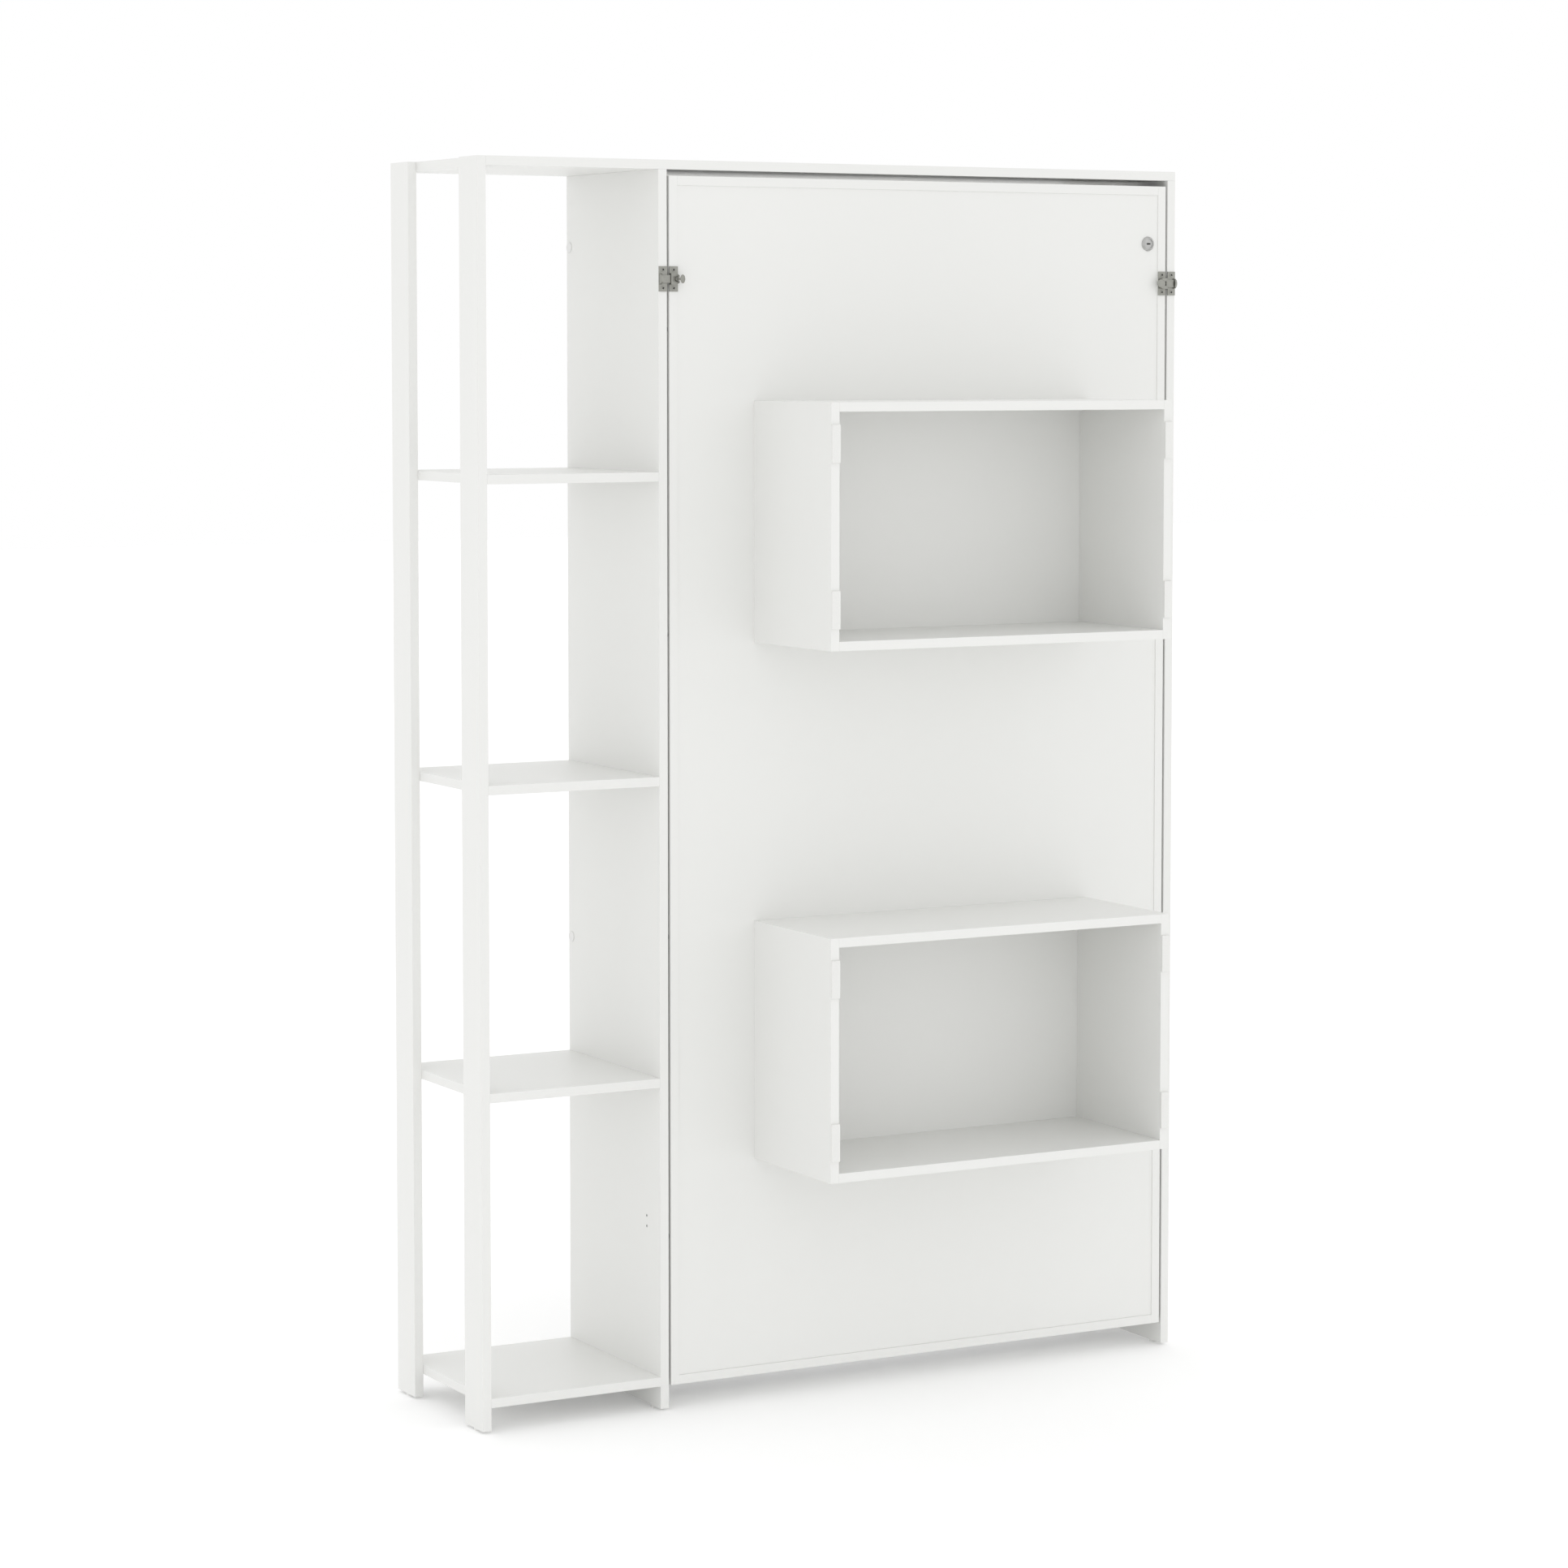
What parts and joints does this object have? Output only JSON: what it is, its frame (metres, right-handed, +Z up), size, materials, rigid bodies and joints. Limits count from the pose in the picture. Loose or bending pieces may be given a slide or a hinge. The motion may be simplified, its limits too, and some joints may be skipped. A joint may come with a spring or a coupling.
{
  "type": "wall bed",
  "caption": "Single vertical wall bed that folds down from a white board cabinet onto its two niche boxes, with an open shelf unit at its left, edge latches and a cam lock.",
  "frame": {"origin": "on the floor, at the middle of the bounding box seen from above", "axes": "+X to the right along the front, +Y into the wall, +Z up"},
  "size_m": [1.3, 0.588, 2.014],
  "materials": {
    "board": "satin white melamine facing with matching edge band",
    "glide": "matte white nylon",
    "cap": "matte white",
    "screw_steel": "zinc plated",
    "pivot_steel": "zinc plated sheet",
    "latch_zinc": "satin nickel plated",
    "lock_chrome": "satin nickel plated",
    "bush_nylon": "natural nylon",
    "slat_birch": "sanded birch plywood",
    "ledge_wood": "planed pine",
    "mattress_fabric": "quilted knitted cover",
    "webbing": "woven polyester webbing",
    "buckle": "moulded black",
    "strut_black": "black powder coat",
    "strut_rod": "ground and hard chromed"
  },
  "bodies": {
    "cabinet": {"front_left_post": "board", "rear_left_post": "board", "divider_panel": "board", "right_side_panel": "board", "top_panel": "board", "bottom_shelf": "board", "lower_shelf": "board", "middle_shelf": "board", "upper_shelf": "board", "upper_wall_rail": "board", "lower_wall_rail": "board", "bottom_wall_rail": "board", "stop_blocks": "board", "foot_glides": "glide", "divider_caps": "cap", "top_panel_screws": "screw_steel", "left_pivot_plate": "pivot_steel", "right_pivot_plate": "pivot_steel", "pivot_screws": "screw_steel", "keeper_plates": "latch_zinc", "keeper_screws": "latch_zinc", "cabinet_strut_brackets": "pivot_steel"},
    "bed": {"left_bed_rail": "board", "right_bed_rail": "board", "foot_rail": "board", "head_rail": "board", "bed_front_panel": "board", "slat_ledges": "ledge_wood", "centre_bearer": "ledge_wood", "slats": "slat_birch", "bed_joint_screws": "screw_steel", "mattress": "mattress_fabric", "mattress_straps": "webbing", "strap_buckles": "buckle", "pivot_bushes": "bush_nylon", "upper_niche_left_side": "board", "upper_niche_right_side": "board", "upper_niche_bottom": "board", "upper_niche_top": "board", "lower_niche_left_side": "board", "lower_niche_right_side": "board", "lower_niche_bottom": "board", "lower_niche_top": "board", "niche_floor_pads": "glide", "left_latch_body": "latch_zinc", "right_latch_body": "latch_zinc", "latch_screws": "latch_zinc", "lock_housing": "lock_chrome", "bed_strut_brackets": "pivot_steel"},
    "left_latch": {"left_latch_tongue": "latch_zinc", "left_latch_knob": "latch_zinc"},
    "right_latch": {"right_latch_tongue": "latch_zinc", "right_latch_knob": "latch_zinc"},
    "lock": {"lock_plug": "lock_chrome", "lock_cam": "lock_chrome", "cam_nut": "screw_steel"},
    "left_cylinder": {"left_strut_cylinder": "strut_black"},
    "right_cylinder": {"right_strut_cylinder": "strut_black"},
    "left_rod": {"left_strut_rod": "strut_rod"},
    "right_rod": {"right_strut_rod": "strut_rod"}
  },
  "joints": [
    {"name": "bed_fold", "type": "hinge", "parent": "cabinet", "child": "bed", "pos_m": [0.158, 0.01, 0.304], "axis": [1, 0, 0], "range_deg": [0, 90]},
    {"name": "left_latch_slide", "type": "slide", "parent": "bed", "child": "left_latch", "axis": [1, 0, 0], "range_m": [-0.0024, 0.008], "stiffness_N_per_m": 400},
    {"name": "right_latch_slide", "type": "slide", "parent": "bed", "child": "right_latch", "axis": [-1, 0, 0], "range_m": [-0.0024, 0.008], "stiffness_N_per_m": 400},
    {"name": "lock_turn", "type": "hinge", "parent": "bed", "child": "lock", "pos_m": [0.596, -0.0405, 1.892], "axis": [0, 1, 0], "range_deg": [-90, 0]},
    {"name": "left_strut_swing", "type": "hinge", "parent": "cabinet", "child": "left_cylinder", "pos_m": [-0.3065, 0.234, 0.81], "axis": [1, 0, 0], "range_deg": [0, 1.51]},
    {"name": "left_strut_slide", "type": "slide", "parent": "left_cylinder", "child": "left_rod", "axis": [0, -0.2001, -0.9798], "range_m": [-0.24752, 0]},
    {"name": "right_strut_swing", "type": "hinge", "parent": "cabinet", "child": "right_cylinder", "pos_m": [0.6225, 0.234, 0.81], "axis": [1, 0, 0], "range_deg": [0, 1.51]},
    {"name": "right_strut_slide", "type": "slide", "parent": "right_cylinder", "child": "right_rod", "axis": [0, -0.2001, -0.9798], "range_m": [-0.24752, 0]}
  ],
  "couplings": [
    {"joint": "left_strut_swing", "follows": "bed_fold", "ratio": 0.016204},
    {"joint": "left_strut_slide", "follows": "bed_fold", "m_per_rad": -0.15726},
    {"joint": "right_strut_swing", "follows": "bed_fold", "ratio": 0.016204},
    {"joint": "right_strut_slide", "follows": "bed_fold", "m_per_rad": -0.15726}
  ]
}
